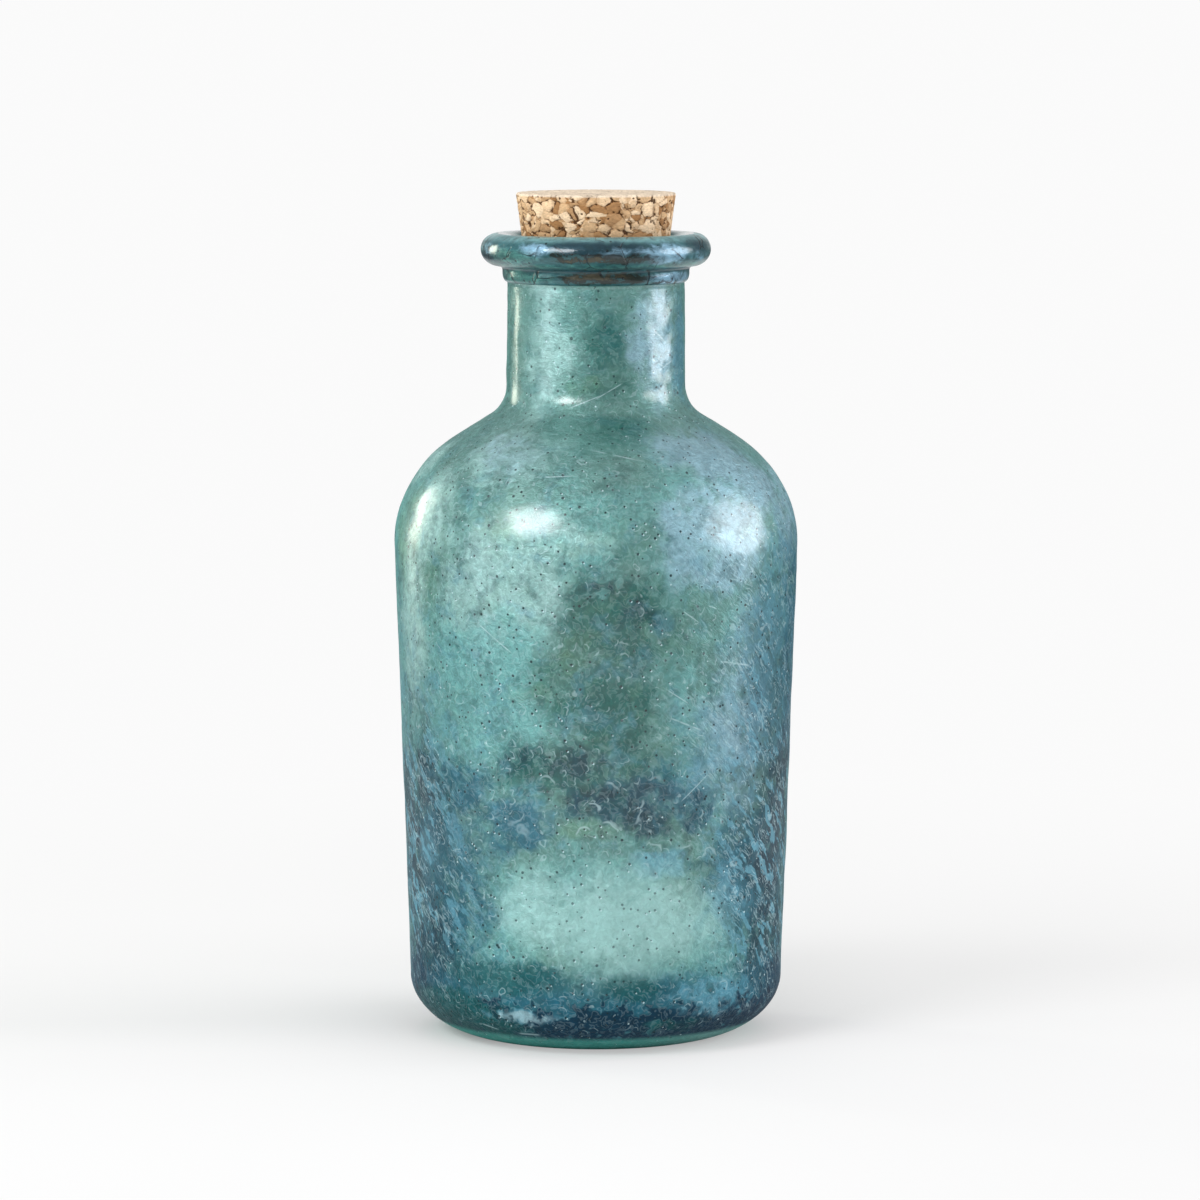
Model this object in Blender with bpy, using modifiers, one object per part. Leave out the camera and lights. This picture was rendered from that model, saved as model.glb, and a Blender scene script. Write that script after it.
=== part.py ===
"""Apothecary bottle: a thick turned glass vessel with a rolled lip, and the tapered cork that seats in it.

Blender 4.5, metres, +Z up. The origin is the centre of the foot, on the surface that the bottle stands on.
Every piece is turned about Z, so each is an outline of (radius, height) points and a Screw modifier.
"""

import math

import bmesh
import bpy

MM = 0.001

# Cork stopper
CORK_TOP_RADIUS = 17.75 * MM
CORK_BOTTOM_RADIUS = 15.2 * MM
CORK_LENGTH = 20.0 * MM
CORK_PROUD = 9.0 * MM            # how far the cork stands above the lip
CORK_EDGE = 0.5 * MM             # worn rounding of both rims
CORK_CLEARANCE = 0.3 * MM        # gap between the cork and its seat, all round

# Lip, collar and neck of the glass
MOUTH_DEPTH = 4.0 * MM           # height of the fire-polished rounding that leads into the seat
NECK_WALL = 4.2 * MM
NECK_FLARE = 0.25 * MM           # how much wider the neck is at its foot
NECK_LENGTH = 23.0 * MM          # from the end of the shoulder's fillet up to the collar
COLLAR_STEP = 1.1 * MM           # how far the collar stands out from the neck
COLLAR_ROUND = 2.1 * MM          # height of the rounding under the collar
COLLAR_BAND = 0.5 * MM           # height of the collar's upright band
LIP_TUCK = 1.0 * MM              # inside curve where the lip rolls out from the collar
LIP_HALF_WIDTH = 3.8 * MM
LIP_HALF_HEIGHT = 3.6 * MM

# Body of the glass
BODY_RADIUS = 45.0 * MM          # at the shoulder, the widest place
FOOT_RADIUS = 41.6 * MM          # of the wall, where the heel begins
WALL_RISE = 96.5 * MM            # of the straight tapered wall, from the heel to the shoulder
BODY_WALL = 3.5 * MM
SHOULDER_ROUND = 27.8 * MM
SHOULDER_SLOPE = math.radians(32.8)   # of the flank above the horizontal
SHOULDER_FILLET = 7.6 * MM       # inside curve where the shoulder meets the neck
HEEL_WIDTH = 18.0 * MM
HEEL_HEIGHT = 13.5 * MM
REST_WIDTH = 3.2 * MM            # of the flat ring that the bottle stands on
PUSH_UP = 2.5 * MM               # rise of the hollow under the foot
FLOOR_THICKNESS = 7.0 * MM
FLOOR_CROWN = 1.5 * MM           # rise of the inner floor over the hollow
INNER_HEEL_HEIGHT = 11.0 * MM

# Smoothness of the turned solids, in segments
TURN_STEPS = 56
ARC_STEPS = 6
EDGE_STEPS = 3
MERGE_DISTANCE = 0.001 * MM

# Sizes that follow from the ones above
BORE_RADIUS = CORK_BOTTOM_RADIUS + CORK_CLEARANCE
NECK_TOP_RADIUS = BORE_RADIUS + NECK_WALL
NECK_FOOT_RADIUS = NECK_TOP_RADIUS + NECK_FLARE
COLLAR_RADIUS = NECK_TOP_RADIUS + COLLAR_STEP
CREST_RADIUS = COLLAR_RADIUS + LIP_TUCK
SHOULDER_HEIGHT = HEEL_HEIGHT + WALL_RISE
SHOULDER_TURN = math.pi / 2 - SHOULDER_SLOPE


def ellipse_arc(centre, half_width, half_height, start, end, steps=ARC_STEPS):
    """Points along part of an ellipse, both ends included. Angles are in radians, from +radius towards +height."""
    points = []
    for i in range(steps + 1):
        angle = start + (end - start) * i / steps
        radius = centre[0] + half_width * math.cos(angle)
        height = centre[1] + half_height * math.sin(angle)
        points.append((radius, height))
    return points


def shoulder_curve(body_radius, round_radius, neck_radius, fillet_radius):
    """The shoulder from the wall up to the neck: a convex arc, a straight flank and a concave fillet."""
    run_share = 1 - math.cos(SHOULDER_TURN)
    room = body_radius - neck_radius - fillet_radius * run_share
    round_radius = min(round_radius, room / run_share)
    flank_run = room - round_radius * run_share
    arc_centre = (body_radius - round_radius, SHOULDER_HEIGHT)
    shoulder = ellipse_arc(arc_centre, round_radius, round_radius, 0, SHOULDER_TURN)
    flank_top = shoulder[-1][1] + flank_run * math.tan(SHOULDER_SLOPE)
    fillet_centre = (
        neck_radius + fillet_radius,
        flank_top + fillet_radius * math.sin(SHOULDER_TURN),
    )
    fillet = ellipse_arc(fillet_centre, fillet_radius, fillet_radius, math.pi + SHOULDER_TURN, math.pi)
    return shoulder + fillet


def outer_shoulder():
    """The shoulder's outside, which sets the height of all that stands on it."""
    return shoulder_curve(BODY_RADIUS, SHOULDER_ROUND, NECK_FOOT_RADIUS, SHOULDER_FILLET)


COLLAR_BASE = outer_shoulder()[-1][1] + NECK_LENGTH
LIP_BASE = COLLAR_BASE + COLLAR_ROUND + COLLAR_BAND + LIP_TUCK
LIP_TOP = LIP_BASE + 2 * LIP_HALF_HEIGHT
CORK_TOP = LIP_TOP + CORK_PROUD
CORK_BASE = CORK_TOP - CORK_LENGTH


def cork_radius(height):
    """The cork's own radius at a height, on its straight taper."""
    share = (height - CORK_BASE) / CORK_LENGTH
    return CORK_BOTTOM_RADIUS + (CORK_TOP_RADIUS - CORK_BOTTOM_RADIUS) * share


def lip_outside():
    """Collar and rolled lip, from the neck up to the crest of the lip."""
    collar_centre = (NECK_TOP_RADIUS, COLLAR_BASE + COLLAR_ROUND)
    collar = ellipse_arc(collar_centre, COLLAR_STEP, COLLAR_ROUND, -math.pi / 2, 0, EDGE_STEPS)
    tuck_centre = (CREST_RADIUS, LIP_BASE - LIP_TUCK)
    tuck = ellipse_arc(tuck_centre, LIP_TUCK, LIP_TUCK, math.pi, math.pi / 2, EDGE_STEPS)
    bead_centre = (CREST_RADIUS, LIP_BASE + LIP_HALF_HEIGHT)
    bead = ellipse_arc(bead_centre, LIP_HALF_WIDTH, LIP_HALF_HEIGHT, -math.pi / 2, math.pi / 2, 2 * ARC_STEPS)
    return collar + tuck + bead[1:]


def mouth_and_seat():
    """From the crest of the lip down through the mouth and the tapered seat to the top of the bore."""
    seat_top = LIP_TOP - MOUTH_DEPTH
    seat_radius = cork_radius(seat_top) + CORK_CLEARANCE
    mouth_centre = (CREST_RADIUS, seat_top)
    mouth = ellipse_arc(mouth_centre, CREST_RADIUS - seat_radius, MOUTH_DEPTH, math.pi / 2, math.pi)
    seat_foot = (BORE_RADIUS, CORK_BASE)
    return mouth[1:] + [seat_foot]


def glass_outside():
    """Outside of the glass, from the middle of the foot up to the crest of the lip."""
    heel_start = FOOT_RADIUS - HEEL_WIDTH
    ring_inside = heel_start - REST_WIDTH
    hollow_centre = (0.0, 0.0)
    hollow = ellipse_arc(hollow_centre, ring_inside, PUSH_UP, math.pi / 2, 0)
    heel_centre = (heel_start, HEEL_HEIGHT)
    heel = ellipse_arc(heel_centre, HEEL_WIDTH, HEEL_HEIGHT, -math.pi / 2, 0)
    return hollow + heel + outer_shoulder() + lip_outside()


def glass_inside():
    """Inside of the glass, from the bore down to the middle of the inner floor."""
    shoulder = shoulder_curve(
        BODY_RADIUS - BODY_WALL,
        SHOULDER_ROUND - BODY_WALL,
        BORE_RADIUS,
        SHOULDER_FILLET + NECK_FOOT_RADIUS - BORE_RADIUS,
    )
    heel_width = HEEL_WIDTH - BODY_WALL
    heel_centre = (FOOT_RADIUS - HEEL_WIDTH, FLOOR_THICKNESS + INNER_HEEL_HEIGHT)
    heel = ellipse_arc(heel_centre, heel_width, INNER_HEEL_HEIGHT, 0, -math.pi / 2)
    crown_centre = (0.0, FLOOR_THICKNESS)
    crown = ellipse_arc(crown_centre, heel_centre[0], FLOOR_CROWN, 0, math.pi / 2, EDGE_STEPS)
    return shoulder[::-1] + heel + crown[1:]


def glass_outline():
    """The whole section of the glass as one line, from the middle of the foot over the lip to the inner floor."""
    return glass_outside() + mouth_and_seat() + glass_inside()


def cork_outline():
    """The cork's section, from the middle of its foot to the middle of its top."""
    foot_centre = (cork_radius(CORK_BASE) - CORK_EDGE, CORK_BASE + CORK_EDGE)
    foot = ellipse_arc(foot_centre, CORK_EDGE, CORK_EDGE, -math.pi / 2, 0, EDGE_STEPS)
    top_centre = (cork_radius(CORK_TOP) - CORK_EDGE, CORK_TOP - CORK_EDGE)
    top = ellipse_arc(top_centre, CORK_EDGE, CORK_EDGE, 0, math.pi / 2, EDGE_STEPS)
    return [(0.0, CORK_BASE)] + foot + top + [(0.0, CORK_TOP)]


def material(name, colour, roughness, metallic=0.0, clearness=0.0):
    """A Principled material of one plain finish."""
    made = bpy.data.materials.new(name)
    made.use_nodes = True
    shader = made.node_tree.nodes["Principled BSDF"]
    shader.inputs["Base Color"].default_value = (*colour, 1.0)
    shader.inputs["Roughness"].default_value = roughness
    shader.inputs["Metallic"].default_value = metallic
    shader.inputs["Transmission Weight"].default_value = clearness
    made.diffuse_color = (*colour, 1.0)
    return made


def turned(name, outline, finish, parts):
    """A piece turned about Z from an outline that starts and ends on the axis.

    The outline is laid from its end to its start, so that it runs down the outer side and the faces point out.
    """
    mesh = bpy.data.meshes.new(name)
    section = bmesh.new()
    points = [section.verts.new((radius, 0.0, height)) for radius, height in reversed(outline)]
    for first, second in zip(points[:-1], points[1:]):
        section.edges.new((first, second))
    section.to_mesh(mesh)
    section.free()
    mesh.materials.append(finish)
    piece = bpy.data.objects.new(name, mesh)
    parts.objects.link(piece)
    screw = piece.modifiers.new("turn", "SCREW")
    screw.axis = "Z"
    screw.angle = 2 * math.pi
    screw.steps = TURN_STEPS
    screw.render_steps = TURN_STEPS
    screw.use_merge_vertices = True
    screw.merge_threshold = MERGE_DISTANCE
    screw.use_smooth_shade = True
    return piece


def main():
    """Clears the scene and makes the bottle."""
    for old in list(bpy.data.objects):
        bpy.data.objects.remove(old)
    parts = bpy.data.collections.new("apothecary_bottle")
    bpy.context.scene.collection.children.link(parts)
    glass = material("sea_green_glass", (0.20, 0.42, 0.42), 0.22, metallic=0.15, clearness=0.3)
    cork = material("granular_cork", (0.62, 0.42, 0.24), 0.85)
    turned("glass_bottle", glass_outline(), glass, parts)
    turned("cork_stopper", cork_outline(), cork, parts)


main()
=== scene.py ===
"""Looks of the apothecary bottle: weathered sea-green glass with a rolled lip, closed by a granular cork.

Lengths are in metres, except in Patch and Scratch, which are in millimetres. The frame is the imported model's:
+Z up, the centre of the foot at the origin, and the photograph's camera on the -Y side. Azimuths are in
degrees from the camera's side (-Y) towards +X.
"""

import logging
import math
from dataclasses import dataclass
from enum import Enum
from typing import Any, Callable, ClassVar, Iterable, Sequence

import bpy
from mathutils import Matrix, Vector


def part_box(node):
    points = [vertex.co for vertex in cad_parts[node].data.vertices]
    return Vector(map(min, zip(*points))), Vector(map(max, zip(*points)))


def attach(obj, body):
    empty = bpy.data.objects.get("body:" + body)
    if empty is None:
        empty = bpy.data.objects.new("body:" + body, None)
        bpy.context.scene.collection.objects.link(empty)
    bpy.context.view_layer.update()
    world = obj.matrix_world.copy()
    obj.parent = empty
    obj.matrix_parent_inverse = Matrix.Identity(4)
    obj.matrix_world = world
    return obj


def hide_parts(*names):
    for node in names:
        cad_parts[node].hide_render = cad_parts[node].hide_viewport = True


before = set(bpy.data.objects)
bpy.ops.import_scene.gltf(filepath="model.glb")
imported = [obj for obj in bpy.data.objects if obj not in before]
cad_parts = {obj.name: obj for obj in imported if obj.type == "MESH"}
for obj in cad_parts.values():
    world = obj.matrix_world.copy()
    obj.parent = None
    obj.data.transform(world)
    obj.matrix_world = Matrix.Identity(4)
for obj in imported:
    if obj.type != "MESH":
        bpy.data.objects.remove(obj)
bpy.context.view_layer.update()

MM = 0.001
LOG = logging.getLogger("apothecary_bottle")

Point = tuple[float, float]
Colour = tuple[float, float, float]


def srgb(red: int, green: int, blue: int) -> Colour:
    """Turns a colour given in the usual 0 to 255 steps into linear light.

    Args:
        red: red, 0 to 255.
        green: green, 0 to 255.
        blue: blue, 0 to 255.

    Returns:
        The linear colour, 0 to 1.
    """
    def linear(step: int) -> float:
        """One channel."""
        share = step / 255
        return share / 12.92 if share <= 0.04045 else ((share + 0.055) / 1.055) ** 2.4

    return (linear(red), linear(green), linear(blue))


def on_wall(azimuth: float, radius: float, height: float) -> Vector:
    """The point at an azimuth in degrees, a distance from the bottle's axis and a height above the foot."""
    turn = math.radians(azimuth)
    return Vector((radius * math.sin(turn), -radius * math.cos(turn), height))


class Wire:
    """A number that runs through a node tree, which Python's own operators join with Math nodes."""

    def __init__(self, sheet: "NodeSheet", socket: bpy.types.NodeSocket) -> None:
        """Wraps an output socket of a sheet."""
        self.sheet = sheet
        self.socket = socket

    def _math(self, operation: str, first: Any, second: Any = None) -> "Wire":
        """The result of a new Math node on one or two values or wires."""
        values = {0: first} if second is None else {0: first, 1: second}
        return self.sheet.add("ShaderNodeMath", {"operation": operation}, values)

    def __add__(self, other: Any) -> "Wire":
        """Sum."""
        return self._math("ADD", self, other)

    __radd__ = __add__

    def __sub__(self, other: Any) -> "Wire":
        """Difference."""
        return self._math("SUBTRACT", self, other)

    def __rsub__(self, other: Any) -> "Wire":
        """Difference, with the wire taken away."""
        return self._math("SUBTRACT", other, self)

    def __mul__(self, other: Any) -> "Wire":
        """Product."""
        return self._math("MULTIPLY", self, other)

    __rmul__ = __mul__

    def __pow__(self, other: Any) -> "Wire":
        """Power."""
        return self._math("POWER", self, other)

    def at_least(self, other: Any) -> "Wire":
        """The larger of two."""
        return self._math("MAXIMUM", self, other)

    def size(self) -> "Wire":
        """The value without its sign."""
        return self._math("ABSOLUTE", self)

    def sine(self) -> "Wire":
        """The sine of the value in radians."""
        return self._math("SINE", self)

    def step(self, low: float, high: float) -> "Wire":
        """A soft step.

        Args:
            low: the value where the step is 0.
            high: the value where it is 1. It may be below low, and the step then falls.

        Returns:
            The step, from 0 to 1.
        """
        sockets = {"Value": self, "From Min": min(low, high), "From Max": max(low, high)}
        rising = self.sheet.add("ShaderNodeMapRange", {"interpolation_type": "SMOOTHSTEP"}, sockets)
        return rising if low <= high else 1 - rising


class NodeSheet:
    """A node tree that is filled in by code: a material's, a world's or a modifier's."""

    def __init__(self, tree: bpy.types.NodeTree, place: Wire | None = None) -> None:
        """Takes an empty tree.

        Args:
            tree: the tree.
            place: the wire that gives a point's place, where it isn't the Object coordinate.
        """
        self.tree = tree
        self._place = place

    def node(self, kind: str, settings: dict[str, Any], sockets: dict[Any, Any]) -> bpy.types.Node:
        """Adds a node.

        Args:
            kind: the node's type.
            settings: its properties, which are set first.
            sockets: its inputs by name or number, each a value or a wire.

        Returns:
            The node.
        """
        made = self.tree.nodes.new(kind)
        for name, value in settings.items():
            setattr(made, name, value)
        for key, value in sockets.items():
            target = made.inputs[key]
            if isinstance(value, Wire):
                self.tree.links.new(value.socket, target)
            elif target.type == "RGBA" and len(value) == 3:
                target.default_value = (*value, 1.0)
            else:
                target.default_value = value
        return made

    def add(self, kind: str, settings: dict[str, Any], sockets: dict[Any, Any], output: Any = 0) -> Wire:
        """Adds a node and gives one of its outputs, by name or number."""
        return Wire(self, self.node(kind, settings, sockets).outputs[output])

    def place(self) -> Wire:
        """The point's own place on the piece.

        Returns:
            The place, in metres.
        """
        if self._place is None:
            self._place = self.add("ShaderNodeTexCoord", {}, {}, "Object")
        return self._place

    def vector(self, operation: str, first: Any, second: Any = None, output: Any = 0) -> Wire:
        """Adds a Vector Math node.

        Args:
            operation: the node's operation.
            first: its first vector.
            second: its second vector, or the number for SCALE.
            output: the output's name or number.

        Returns:
            The result.
        """
        sockets: dict[Any, Any] = {0: first}
        if operation == "SCALE":
            sockets["Scale"] = second
        elif second is not None:
            sockets[1] = second
        return self.add("ShaderNodeVectorMath", {"operation": operation}, sockets, output)

    def parts(self, vector: Wire) -> tuple[Wire, Wire, Wire]:
        """A vector's three numbers."""
        split = self.node("ShaderNodeSeparateXYZ", {}, {0: vector})
        return Wire(self, split.outputs[0]), Wire(self, split.outputs[1]), Wire(self, split.outputs[2])

    def blend(self, share: Any, first: Any, second: Any) -> Wire:
        """Mixes two colours, by how much of the second shows."""
        return self.add("ShaderNodeMix", {"data_type": "RGBA"}, {0: share, 6: first, 7: second}, 2)

    def noise(self, vector: Wire, grain: float, detail: float = 2.0, roughness: float = 0.5,
              output: Any = 0) -> Wire:
        """Cloudy noise of a grain in metres. Output 0 is its value, mostly from 0.25 to 0.75."""
        sockets = {"Vector": vector, "Scale": 1 / grain, "Detail": detail, "Roughness": roughness}
        return self.add("ShaderNodeTexNoise", {}, sockets, output)

    def cells(self, vector: Wire, grain: float, feature: str = "F1", output: Any = 0) -> Wire:
        """Voronoi cells of a size in metres, whose distances are in cells."""
        sockets = {"Vector": vector, "Scale": 1 / grain}
        return self.add("ShaderNodeTexVoronoi", {"feature": feature}, sockets, output)

    def bump(self, height: Wire, strength: float, distance: float) -> Wire:
        """The normal of a bumpy surface, with bumps of a distance in metres."""
        return self.add("ShaderNodeBump", {}, {"Strength": strength, "Distance": distance, "Height": height})

    def clear_glass(self, colour: Wire, roughness: float, normal: Wire) -> Wire:
        """The shader of clear tinted glass."""
        sockets = {"Base Color": colour, "Roughness": roughness, "Transmission Weight": 1.0, "IOR": 1.5}
        return self.add("ShaderNodeBsdfPrincipled", {}, {**sockets, "Normal": normal})

    def ray(self, kind: str) -> Wire:
        """1 for rays of a kind: Camera, Glossy or Transmission."""
        return self.add("ShaderNodeLightPath", {}, {}, f"Is {kind} Ray")

    def glow(self, kind: str, strength: Any) -> Wire:
        """The shader of a white Emission or Background node."""
        return self.add(kind, {}, {"Color": (1.0, 1.0, 1.0), "Strength": strength})

    def mixed(self, share: Any, first: Wire, second: Wire) -> Wire:
        """Two shaders, mixed by how much of the second shows."""
        return self.add("ShaderNodeMixShader", {}, {0: share, 1: first, 2: second})

    def stirred(self, vector: Wire, grain: float, reach: float, detail: float = 2.0) -> Wire:
        """Moves the places that a pattern is read at, so that its edges turn ragged.

        Args:
            vector: the places.
            grain: the size of the swirls, in metres.
            reach: how far they move a point, in metres.
            detail: how many finer layers the swirls have.

        Returns:
            The moved places.
        """
        swirl = self.noise(vector, grain, detail, output=1)
        centred = self.vector("SUBTRACT", swirl, (0.5, 0.5, 0.5))
        return self.vector("ADD", vector, self.vector("SCALE", centred, 2 * reach))


@dataclass(frozen=True)
class Patch:
    """A soft-edged place on the glass where one finish shows, in degrees and millimetres."""

    azimuth: float
    height: float
    half_width: float
    half_height: float
    strength: float = 1.0
    radius: float = 43

    INNER: ClassVar[float] = 0.15
    OUTER: ClassVar[float] = 1.45

    def mask(self, sheet: NodeSheet, place: Wire) -> Wire:
        """How much of the patch is at a point.

        Args:
            sheet: the node sheet.
            place: the point.

        Returns:
            From 0 outside to the patch's strength at its middle.
        """
        middle = on_wall(self.azimuth, self.radius, self.height)
        reach = Vector((1 / self.half_width, 1 / self.half_width, 1 / self.half_height))
        sockets = {0: place, 1: tuple(reach / MM), 2: tuple(-middle * reach)}
        scaled = sheet.add("ShaderNodeVectorMath", {"operation": "MULTIPLY_ADD"}, sockets)
        away = sheet.vector("LENGTH", scaled, output="Value")
        fade = {"From Min": self.INNER, "From Max": self.OUTER, "To Min": self.strength, "To Max": 0.0}
        return sheet.add("ShaderNodeMapRange", {"interpolation_type": "SMOOTHSTEP"}, {"Value": away, **fade})


def all_patches(sheet: NodeSheet, place: Wire, patches: Iterable[Patch]) -> Wire:
    """The strongest of several patches at a point.

    Args:
        sheet: the node sheet.
        place: the point.
        patches: the patches.

    Returns:
        From 0 to 1.
    """
    masks = [patch.mask(sheet, place) for patch in patches]
    total = masks[0]
    for mask in masks[1:]:
        total = total.at_least(mask)
    return total


@dataclass(frozen=True)
class Tint:
    """A colour and the places where it gathers: mostly the glass's own colour, in some places painted light."""

    colour: Colour
    patches: tuple[Patch, ...]
    strength: float = 0.9
    ragged: float = 1.2

    def lay(self, sheet: NodeSheet, place: Wire, mottle: Wire, under: Any) -> Wire:
        """Lays the tint over what is there already.

        Args:
            sheet: the node sheet.
            place: the point.
            mottle: a mottled number from 0 to 1, which breaks up the tint's edge.
            under: the colour so far.

        Returns:
            The colour with the tint.
        """
        mask = all_patches(sheet, place, self.patches) * ((mottle - 0.5) * self.ragged + 1)
        return sheet.blend(mask.step(0.14, 0.78) * self.strength, under, self.colour)


@dataclass(frozen=True)
class Scratch:
    """A thin pale line across the glass, in degrees and millimetres."""

    azimuth: float
    height: float
    slope: float
    half_length: float
    radius: float = 44
    half_width: float = 0.22

    def mask(self, sheet: NodeSheet, place: Wire) -> Wire:
        """How much of the scratch is at a point.

        Args:
            sheet: the node sheet.
            place: the point.

        Returns:
            From 0 beside the scratch to 1 on it.
        """
        turn = math.radians(self.azimuth)
        slope = math.radians(self.slope)
        level = math.cos(slope)
        along = Vector((math.cos(turn) * level, math.sin(turn) * level, math.sin(slope)))
        out = Vector((math.sin(turn), -math.cos(turn), 0.0))
        middle = on_wall(self.azimuth, self.radius, self.height) * MM
        away = sheet.vector("SUBTRACT", place, tuple(middle))
        beside = sheet.vector("DOT_PRODUCT", away, tuple(along.cross(out)), output="Value").size()
        reach = sheet.vector("LENGTH", away, output="Value")
        half_length = self.half_length * MM
        return beside.step(self.half_width * MM, 0.0) * reach.step(half_length, 0.6 * half_length)


class Slot(Enum):
    """The record's material slots."""

    GLASS = "glass"
    CORK = "cork"


class Body(Enum):
    """The bodies that the joint moves."""

    BOTTLE = "bottle"
    STOPPER = "stopper"


class GlassFace(Enum):
    """The finishes of the glass, each with its place in the list of the piece's materials."""

    SKIN = 0
    INSIDE = 1
    LIP = 2


@dataclass
class Finish:
    """A material that is built when it is first asked for."""

    name: str

    def build(self) -> bpy.types.Material:
        """Makes the material and its node tree.

        Returns:
            The material.
        """
        made = bpy.data.materials.new(self.name)
        made.use_nodes = True
        made.node_tree.nodes.clear()
        sheet = NodeSheet(made.node_tree)
        surface = self.surface(sheet)
        sheet.node("ShaderNodeOutputMaterial", {}, {"Surface": surface})
        return made

    def surface(self, sheet: NodeSheet) -> Wire:
        """The finish's own shader.

        Args:
            sheet: the material's node sheet.

        Returns:
            The shader's output.
        """
        raise NotImplementedError


@dataclass(frozen=True)
class Ground:
    """A point of the skin, straight and as swirls of three sizes move it, with the fine curls read there."""

    sheet: NodeSheet
    place: Wire
    height: Wire
    curled: Wire
    swept: Wire
    drifted: Wire
    curls: Wire

    TWIST: ClassVar[float] = 19.0  # radians per metre of height
    DRAWN_OUT: ClassVar[float] = 0.45
    LINES: ClassVar[float] = 34.0  # how fast a sine runs over the curls, which draws fine lines

    @classmethod
    def of(cls, sheet: NodeSheet) -> "Ground":
        """Reads the point, once for the whole material.

        Args:
            sheet: the material's node sheet.

        Returns:
            The point.
        """
        place = sheet.place()
        curled = sheet.stirred(place, 3 * MM, 1.3 * MM)
        swept = sheet.stirred(place, 5 * MM, 2.4 * MM)
        drifted = sheet.stirred(place, 13 * MM, 8 * MM, 3.0)
        curls = sheet.noise(curled, 2.6 * MM, 2.0, 0.55)
        return cls(sheet, place, sheet.parts(place)[2], curled, swept, drifted, curls)

    def slanted(self, place: Wire) -> Wire:
        """Turns places with their height and draws them out, so that a pattern runs down to the right.

        Args:
            place: the places.

        Returns:
            The places that the pattern is read at.
        """
        sockets = {0: place, "Angle": self.height * self.TWIST}
        turned = self.sheet.add("ShaderNodeVectorRotate", {"rotation_type": "Z_AXIS"}, sockets)
        return self.sheet.vector("MULTIPLY", turned, (1.0, 1.0, self.DRAWN_OUT))


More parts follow.
